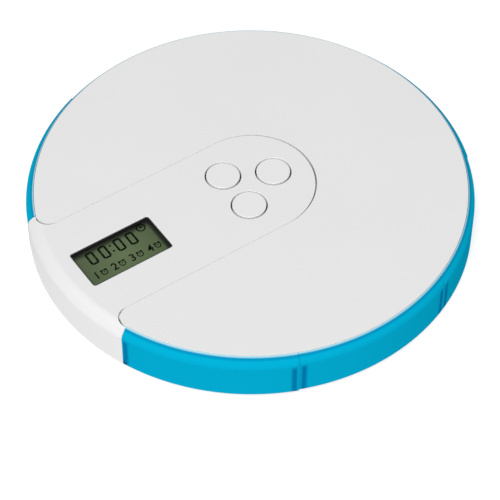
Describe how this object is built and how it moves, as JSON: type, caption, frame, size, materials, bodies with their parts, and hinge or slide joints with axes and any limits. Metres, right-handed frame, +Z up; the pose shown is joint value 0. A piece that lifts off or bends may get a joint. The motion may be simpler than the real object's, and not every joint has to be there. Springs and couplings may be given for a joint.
{
  "type": "automatic pill dispenser",
  "caption": "Low round pill dispenser: white lift-off lid, keyhole control arm with display and round buttons, blue see-through rim, motor-turned ring of pill cells inside.",
  "frame": {"origin": "on the table, under the middle of the disc", "axes": "+Z up; the arm with the display points to -Y, so +Y is the far side; +X is right of the arm as the user looks along +Y"},
  "size_m": [0.16, 0.16, 0.0203],
  "materials": {
    "white_shell": "satin",
    "button_white": "satin",
    "blue_window": "gloss",
    "inner_white": "satin",
    "cell_plastic": "satin",
    "gear_plastic": "satin",
    "steel": "satin",
    "spring_bronze": "satin",
    "battery_jacket": "satin",
    "circuit_board": "satin",
    "black_plastic": "satin",
    "display": "gloss",
    "clear_pane": "gloss",
    "magnet": "gloss",
    "foot_rubber": "matte"
  },
  "bodies": {
    "housing": {"base_tray": "inner_white", "hub_housing": "inner_white", "deck": "inner_white", "head_cover": "white_shell", "band_segment_1": "blue_window", "band_segment_2": "blue_window", "band_segment_3": "blue_window", "band_segment_4": "blue_window", "band_segment_5": "blue_window", "band_segment_6": "blue_window", "band_segment_7": "blue_window", "display_window": "clear_pane", "lcd_panel": "display", "main_board": "circuit_board", "board_chips": "black_plastic", "switch_bodies": "black_plastic", "buzzer": "black_plastic", "motor": "steel", "motor_screws": "steel", "idler_axle": "steel", "home_sensor": "black_plastic", "battery_1": "battery_jacket", "battery_2": "battery_jacket", "spring_contacts": "spring_bronze", "plate_contacts": "spring_bronze", "flap_pin": "steel", "flap_spring": "steel", "feet": "foot_rubber", "base_screws": "steel", "deck_screws": "steel", "cover_screws": "steel", "board_screws": "steel"},
    "carousel": {"carousel": "cell_plastic", "carousel_rim": "cell_plastic", "ring_gear": "gear_plastic", "home_magnet": "magnet"},
    "idler": {"idler_gear": "gear_plastic"},
    "rotor": {"motor_shaft": "steel", "motor_pinion": "gear_plastic"},
    "lid": {"lid": "white_shell", "lid_liner": "inner_white"},
    "flap": {"outlet_flap": "inner_white"},
    "door": {"battery_door": "inner_white"},
    "button_1": {"button_cap_1": "button_white", "switch_plunger_1": "black_plastic"},
    "button_2": {"button_cap_2": "button_white", "switch_plunger_2": "black_plastic"},
    "button_3": {"button_cap_3": "button_white", "switch_plunger_3": "black_plastic"}
  },
  "joints": [
    {"name": "carousel_turn", "type": "hinge", "parent": "housing", "child": "carousel", "pos_m": [0, 0, 0.008], "axis": [0, 0, 1], "continuous": true},
    {"name": "idler_turn", "type": "hinge", "parent": "housing", "child": "idler", "pos_m": [0.02078, 0.012, 0.012], "axis": [0, 0, 1], "continuous": true},
    {"name": "motor_turn", "type": "hinge", "parent": "housing", "child": "rotor", "pos_m": [0.01256, 0.00067, 0.011], "axis": [0, 0, 1], "continuous": true},
    {"name": "lid_lift", "type": "slide", "parent": "housing", "child": "lid", "axis": [0, 0, 1], "range_m": [0, 0.06]},
    {"name": "flap_swing", "type": "hinge", "parent": "housing", "child": "flap", "pos_m": [0, -0.04325, 0.00225], "axis": [1, 0, 0], "range_deg": [0, 75], "stiffness_Nm_per_rad": 0.003, "springref_deg": -17.19},
    {"name": "door_drop", "type": "slide", "parent": "housing", "child": "door", "axis": [0, 0, -1], "range_m": [0, 0.03]},
    {"name": "button_1_press", "type": "slide", "parent": "housing", "child": "button_1", "axis": [0, 0, -1], "range_m": [0, 0.0004], "stiffness_N_per_m": 600, "springref_m": -0.0005},
    {"name": "button_2_press", "type": "slide", "parent": "housing", "child": "button_2", "axis": [0, 0, -1], "range_m": [0, 0.0004], "stiffness_N_per_m": 600, "springref_m": -0.0005},
    {"name": "button_3_press", "type": "slide", "parent": "housing", "child": "button_3", "axis": [0, 0, -1], "range_m": [0, 0.0004], "stiffness_N_per_m": 600, "springref_m": -0.0005}
  ],
  "couplings": [
    {"joint": "idler_turn", "follows": "carousel_turn", "ratio": 4},
    {"joint": "motor_turn", "follows": "carousel_turn", "ratio": -5.3333}
  ]
}
